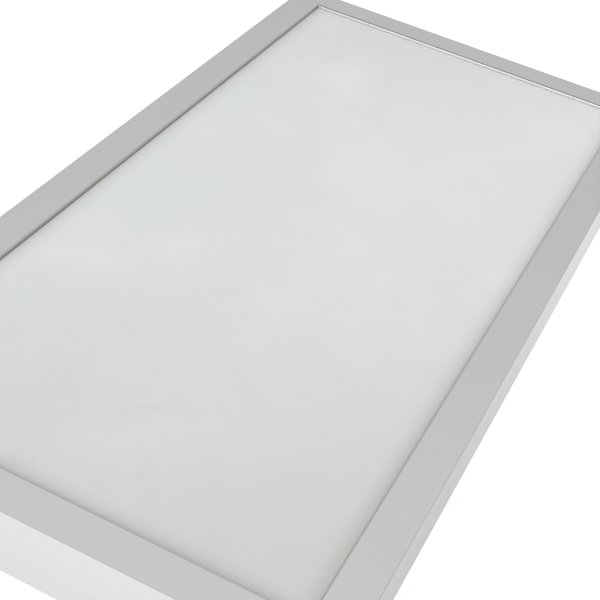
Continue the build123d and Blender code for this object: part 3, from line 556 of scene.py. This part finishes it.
def ink(name, colour):
    """Screen-printed ink: slightly uneven, satin."""
    finish = Finish(name, IOR=1.48)
    cover = finish.noise(0.25 * MM, detail=3.0)
    lighter = brighter(colour, 1.3, lift=0.01)
    finish.drive("Base Color", finish.blend(finish.ramp(cover, 0.35, 0.7), colour, lighter))
    finish.drive("Roughness", finish.ramp(cover, 0.3, 0.7, 0.45, 0.62))
    finish.bump(cover, 0.006 * MM)
    return finish.material


# ---- Which node gets which finish
# Size and depth of the grain on each kind of plastic, where it isn't the usual one
WIRE_GRAIN = (0.6 * MM, 0.01 * MM)
KNOB_GRAIN = (0.35 * MM, 0.02 * MM)
BUTTON_GRAIN = (0.35 * MM, 0.015 * MM)
by_slot = {
    "opal_acrylic": opal_acrylic(),
    "cover_paint": powder_coat(),
    "rubber": rubber(),
    "die_cast": metal(
        "die_cast",
        dark=grey(0.42),
        light=grey(0.52),
        roughness=0.48,
        grain_size=0.8 * MM,
        grain_depth=0.03 * MM,
    ),
    "zinc_steel": metal(
        "zinc_plate",
        dark=(0.56, 0.58, 0.60),
        light=(0.66, 0.67, 0.68),
        roughness=0.30,
        grain_size=0.6 * MM,
        grain_depth=0.006 * MM,
    ),
    "foam": foam(),
    "white_reflector": white_sheet(),
    "bar_white": bar_laminate(),
    "led_phosphor": led_package(),
    "clear_acrylic": clear_acrylic(),
    "nylon_white": plastic("nylon", (0.74, 0.72, 0.64), (0.80, 0.78, 0.71), 0.45),
    "red_pvc": plastic("red_pvc", (0.42, 0.014, 0.012), (0.55, 0.025, 0.02), 0.32, *WIRE_GRAIN),
    "black_pvc": plastic("black_pvc", grey(0.012), grey(0.022), 0.32, *WIRE_GRAIN),
    "board_green": circuit_board(),
    "chip_black": plastic("black_thermoset", grey(0.02), grey(0.032), 0.42),
    "brass": metal(
        "brass",
        dark=(0.62, 0.43, 0.16),
        light=(0.75, 0.55, 0.25),
        roughness=0.22,
        grain_size=0.5 * MM,
        grain_depth=0.004 * MM,
    ),
    "black_plastic": plastic("black_plastic", grey(0.016), grey(0.026), 0.42, *KNOB_GRAIN),
    "button_plastic": plastic("button_plastic", grey(0.30), grey(0.34), 0.42, *BUTTON_GRAIN),
    "capacitor_sleeve": capacitor(),
    "fuse_glass": fuse(),
}
half_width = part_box("frame_right")[1].x
half_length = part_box("frame_far")[1].y
# Painted light on the outer walls: the long walls go from darker at the near end to paler at the far end, the
# short walls are evenly pale
long_wall_painted_light = ((0.478, 0.478, 0.466), (0.625, 0.625, 0.612))
short_wall_painted_light = (grey(0.648), grey(0.648))
# Painted shade on the rounded outer corner is weak on the long sides and strong on the short sides
by_node = {
    "frame_left": anodised("anodised_lengthwise", "Y", half_width, long_wall_painted_light, corner_shade=0.2),
    "frame_near": anodised("anodised_crosswise", "X", half_length, short_wall_painted_light, corner_shade=0.7),
    "dimmer_chip": chip_finish("dimmer_chip", leg_height=0.45 * MM),
    "power_transistor": chip_finish("power_transistor", leg_height=0.6 * MM),
    "dimmer_pot": potentiometer(),
}
by_node["frame_right"] = by_node["frame_left"]
# The far side's copy, with a painted dark line and a painted pale wall on its lip
by_node["frame_far"] = anodised(
    "anodised_far_painted_lip_light",
    "X",
    half_length,
    short_wall_painted_light,
    corner_shade=0.7,
    painted_lip_line=True,
)

for name, node in nodes.items():
    node.data.materials.clear()
    node.data.materials.append(by_node.get(name) or by_slot[slot_of[name]])


# ---- The button's return spring, as a copy of the CAD one
def return_spring():
    """A copy of the CAD spring with a mesh of its own, riding on the housing in place of the CAD one."""
    made = bpy.data.objects.new("return_spring", nodes["switch_spring"].data.copy())
    bpy.context.scene.collection.objects.link(made)
    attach(made, "housing")
    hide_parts("switch_spring")
    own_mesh(made)


return_spring()


# ---- Printed marks, as thin solid pieces on the surfaces that carry them
def extruded(name, outline, place, thickness):
    """A thin prism: outline points (x, y) in the matrix's plane, raised along the plane's normal."""
    count = len(outline)
    vertices = [place @ Vector((x, y, z)) for z in (0.0, thickness) for x, y in outline]
    faces = [list(range(count))[::-1], list(range(count, 2 * count))]
    faces += [[i, (i + 1) % count, count + (i + 1) % count, count + i] for i in range(count)]
    mesh = bpy.data.meshes.new(name)
    mesh.from_pydata(vertices, [], faces)
    return mesh


def merged(name, meshes, material, body):
    """One object out of several meshes, riding on a CAD body."""
    vertices, faces = [], []
    for mesh in meshes:
        start = len(vertices)
        vertices += [v.co.copy() for v in mesh.vertices]
        faces += [[start + index for index in polygon.vertices] for polygon in mesh.polygons]
        bpy.data.meshes.remove(mesh)
    whole = bpy.data.meshes.new(name)
    whole.from_pydata(vertices, [], faces)
    whole.materials.append(material)
    made = bpy.data.objects.new(name, whole)
    bpy.context.scene.collection.objects.link(made)
    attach(made, body)


def arc(radius, angles, centre=(0.0, 0.0)):
    """Points on a circle, at angles in radians, counter-clockwise from the plane's X."""
    x, y = centre
    return [(x + radius * math.cos(angle), y + radius * math.sin(angle)) for angle in angles]


def disc(radius, centre, steps=32):
    """Outline of a round dot."""
    return arc(radius, [2 * math.pi * step / steps for step in range(steps)], centre)


def arc_band(radius, width, start, end, steps=40):
    """Outline of part of a ring, from one angle in degrees to another."""
    angles = [math.radians(start + (end - start) * step / steps) for step in range(steps + 1)]
    return arc(radius + width / 2, angles) + arc(radius - width / 2, angles[::-1])


def bar(width, length, height, steps=10):
    """Outline of an upright bar with rounded ends, its middle at a height over the plane's origin."""
    half = length / 2 - width / 2
    top_centre = (0.0, height + half)
    top = arc(width / 2, [math.pi * step / steps for step in range(steps + 1)], top_centre)
    bottom = [(-x, 2 * height - y) for x, y in top]
    return top + bottom


def facing_out(x, y, z):
    """A plane that faces out of the far side: its X runs to the viewer's right there, its Y up."""
    return Matrix(((-1, 0, 0, x), (0, 0, 1, y), (0, 1, 0, z), (0, 0, 0, 1)))


PRINT_THICKNESS = 0.03 * MM
PRINT_SINK = 0.01 * MM  # every print starts this far inside the surface it lies on
SCALE_DOTS = 11
SMALLEST_DOT = 0.25  # radius in millimetres
DOT_GROWTH = 0.35  # how much larger than that the largest is
SCALE_GAP = 3.0 * MM  # from the knob's edge to the middle of the dots
SYMBOL_RAISE = 9.5 * MM  # from the middle of the button to the middle of the symbol
SYMBOL_STROKE = 0.32 * MM
POINTER_DEPTH = 0.4 * MM  # of the knob's pointer slot
POINTER_PAINT = 0.12 * MM

knob_low, knob_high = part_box("dimmer_knob")
knob_centre = (knob_low + knob_high) / 2
knob_radius = (knob_high.x - knob_low.x) / 2
button_low, button_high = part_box("power_button")
button_centre = (button_low + button_high) / 2
print_y = half_length - PRINT_SINK
grey_ink = ink("grey_ink", (0.10, 0.10, 0.11))

# A ring of dots round the knob, growing from dim to bright
scale_place = facing_out(knob_centre.x, print_y, knob_centre.z)
low_end, high_end = joint_named("dimmer_turn")["range_deg"]
reach = knob_radius + SCALE_GAP
dots = []
for index in range(SCALE_DOTS):
    share = index / (SCALE_DOTS - 1)
    angle = math.radians(90 - low_end - (high_end - low_end) * share)
    dot = disc((SMALLEST_DOT + DOT_GROWTH * share) * MM, arc(reach, [angle])[0])
    dots.append(extruded("dot", dot, scale_place, PRINT_THICKNESS))
merged("dimmer_scale_print", dots, grey_ink, "housing")

# The usual power symbol over the button
symbol_place = facing_out(button_centre.x, print_y, button_centre.z + SYMBOL_RAISE)
ring = arc_band(radius=1.5 * MM, width=SYMBOL_STROKE, start=125, end=415)
stroke = bar(width=SYMBOL_STROKE, length=1.7 * MM, height=1.3 * MM)
symbol = [
    extruded("ring", ring, symbol_place, PRINT_THICKNESS),
    extruded("stroke", stroke, symbol_place, PRINT_THICKNESS),
]
merged("power_symbol_print", symbol, grey_ink, "housing")

# White paint in the bottom of the knob's pointer slot
slot_floor = knob_high.y - POINTER_DEPTH
pointer_place = facing_out(knob_centre.x, slot_floor - PRINT_SINK, knob_centre.z)
pointer = bar(width=0.84 * MM, length=4.34 * MM, height=5.2 * MM)
pointer_paint = [extruded("pointer", pointer, pointer_place, POINTER_PAINT)]
merged("knob_pointer_paint", pointer_paint, ink("white_ink", (0.82, 0.82, 0.80)), "dimmer")


# ---- Floor, lights and camera
SKY_HEIGHT = [(0.0, 0.55), (0.2, 0.68), (0.55, 0.80), (0.8, 1.06)]  # by height, from horizon to zenith
SKY_SIDE = [(0.0, 0.6), (0.35, 0.62), (0.6, 1.0), (1.0, 1.0)]  # from the near side to the far side
FLOOR_HALF = 6.0  # half the floor's side
FLOOR_GLOW = 0.42  # keeps the floor white right up to the table
CAMERA_AIM = (0.0275, -0.0785, 0.043)
CAMERA_ANGLES = (18.72, 37.44, 11.38)  # heading, elevation and roll, in degrees
CAMERA_DISTANCE = 0.7348  # from the aim point
CAMERA_LENS = 77.82  # focal length in millimetres


def floor():
    """A wide white sweep under the table."""
    mesh = bpy.data.meshes.new("floor")
    corners = [(x * FLOOR_HALF, y * FLOOR_HALF, 0) for x, y in ((-1, -1), (1, -1), (1, 1), (-1, 1))]
    mesh.from_pydata(corners, [], [[0, 1, 2, 3]])
    finish = Finish(
        "white_floor",
        IOR=1.3,
        Roughness=0.9,
        Emission_Color=(1, 1, 1, 1),
        Emission_Strength=FLOOR_GLOW,
    )
    paper = finish.noise(3 * MM, detail=3.0)
    finish.drive("Base Color", finish.blend(finish.ramp(paper, 0.3, 0.7), grey(0.86), grey(0.88)))
    finish.bump(paper, 0.01 * MM)
    mesh.materials.append(finish.material)
    made = bpy.data.objects.new("floor", mesh)
    bpy.context.scene.collection.objects.link(made)


def sky():
    """Studio surroundings, dimmer near the horizon and on the near side, brighter on the far side."""
    world = bpy.data.worlds.new("studio")
    bpy.context.scene.world = world
    world.use_nodes = True
    tree = world.node_tree
    tree.nodes.clear()
    split = tree.nodes.new("ShaderNodeSeparateXYZ")
    tree.links.new(tree.nodes.new("ShaderNodeTexCoord").outputs["Generated"], split.inputs[0])

    def ramp(source, start, end, stops):
        """Greys at stops between the source's start and end."""
        share = tree.nodes.new("ShaderNodeMapRange")
        share.inputs["From Min"].default_value = start
        share.inputs["From Max"].default_value = end
        tree.links.new(source, share.inputs["Value"])
        made = tree.nodes.new("ShaderNodeValToRGB")
        tree.links.new(share.outputs["Result"], made.inputs[0])
        elements = made.color_ramp.elements
        for _ in stops[2:]:
            elements.new(0.5)
        for element, (position, value) in zip(elements, stops):
            element.position = position
            element.color = (*grey(value), 1.0)
        return made.outputs[0]

    height = ramp(split.outputs["Z"], 0.0, 1.0, SKY_HEIGHT)
    side = ramp(split.outputs["Y"], -1.0, 1.0, SKY_SIDE)
    product = tree.nodes.new("ShaderNodeVectorMath")
    product.operation = "MULTIPLY"
    tree.links.new(height, product.inputs[0])
    tree.links.new(side, product.inputs[1])
    background = tree.nodes.new("ShaderNodeBackground")
    tree.links.new(product.outputs[0], background.inputs[0])
    tree.links.new(background.outputs[0], tree.nodes.new("ShaderNodeOutputWorld").inputs[0])


def softbox(name, place, aim, size, power):
    """A square area light at a place, turned to an aim point."""
    data = bpy.data.lights.new(name, "AREA")
    data.size = size
    data.energy = power
    made = bpy.data.objects.new(name, data)
    made.location = place
    made.rotation_mode = "QUATERNION"
    made.rotation_quaternion = (Vector(aim) - Vector(place)).to_track_quat("-Z", "Y")
    bpy.context.scene.collection.objects.link(made)


def camera():
    """The view: from the near right, above, with the frame's corners out of the picture."""
    heading, elevation, roll = (math.radians(angle) for angle in CAMERA_ANGLES)
    turned = Matrix.Rotation(heading, 3, "Z") @ Matrix.Rotation(math.pi / 2 - elevation, 3, "X")
    turned = turned @ Matrix.Rotation(roll, 3, "Z")
    data = bpy.data.cameras.new("camera")
    data.sensor_width = 36.0
    data.lens = CAMERA_LENS
    made = bpy.data.objects.new("camera", data)
    made.matrix_world = turned.to_4x4()
    made.location = Vector(CAMERA_AIM) + CAMERA_DISTANCE * (turned @ Vector((0, 0, 1)))
    bpy.context.scene.collection.objects.link(made)
    bpy.context.scene.camera = made


floor()
sky()
softbox("key", place=(-0.5, -5.8, 2.2), aim=(0, 0, 0.04), size=5.0, power=215.0)
camera()
bpy.context.scene.view_settings.view_transform = "Standard"
